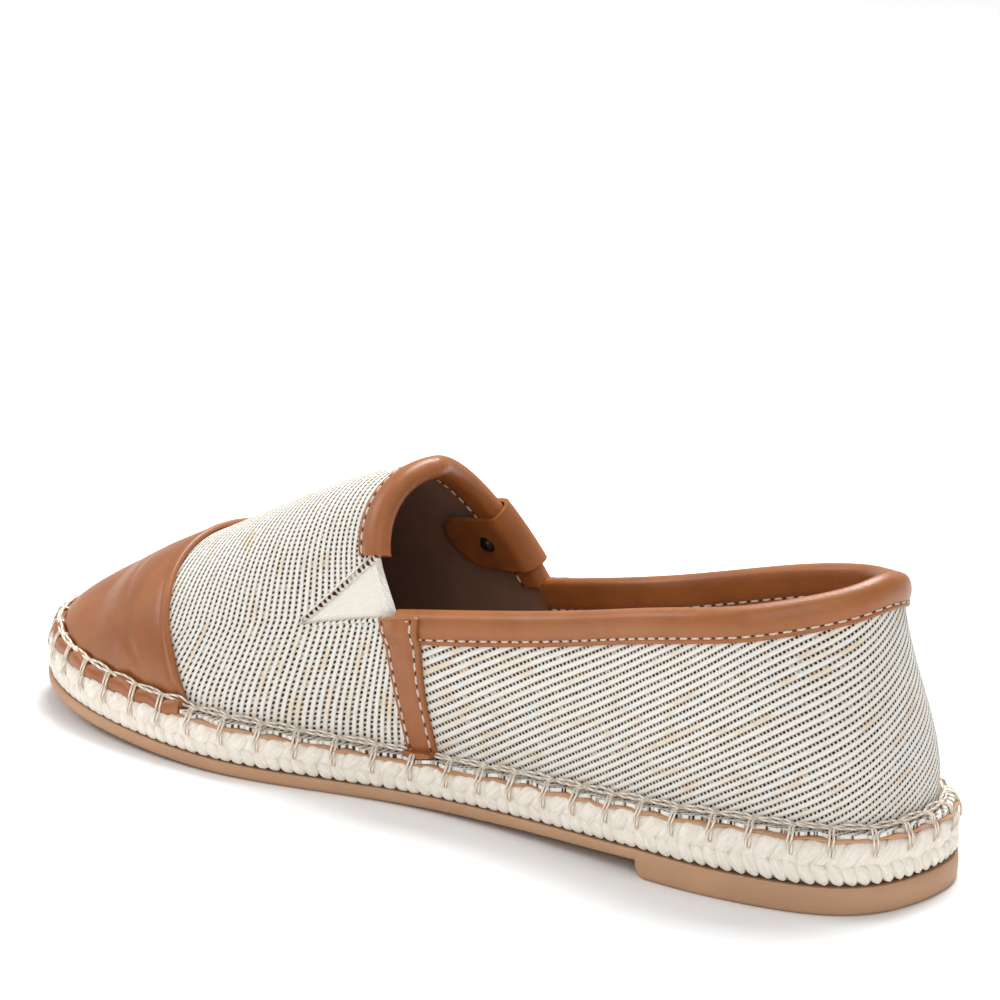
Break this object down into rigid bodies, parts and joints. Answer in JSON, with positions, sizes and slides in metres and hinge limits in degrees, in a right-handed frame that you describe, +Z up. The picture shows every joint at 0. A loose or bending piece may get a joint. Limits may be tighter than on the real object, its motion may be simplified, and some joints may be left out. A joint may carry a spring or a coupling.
{
  "type": "espadrille",
  "caption": "Right slip-on espadrille: woven upper, leather toe cap and collar binding, elastic side gores, rope midsole, low-heeled rubber outsole.",
  "frame": {"origin": "on the floor under the middle of the sole's outline", "axes": "+Y towards the toe, -X towards the inner side of the foot, +Z up"},
  "size_m": [0.0854, 0.2512, 0.0755],
  "materials": {
    "tan_rubber": "matt",
    "jute_rope": "matt",
    "lining": "matt",
    "woven_textile": "matt",
    "tan_leather": "satin",
    "elastic": "matt",
    "dark_metal": "satin"
  },
  "bodies": {
    "root": {"outsole": "tan_rubber", "rope_midsole": "jute_rope", "insole": "lining", "upper": "woven_textile", "toe_cap": "tan_leather", "quarter_binding": "tan_leather", "vamp_binding": "tan_leather", "side_strip_inner": "tan_leather", "side_strip_outer": "tan_leather", "gore_inner": "elastic", "gore_outer": "elastic", "tab": "tan_leather", "tab_rivet": "dark_metal"}
  },
  "joints": []
}
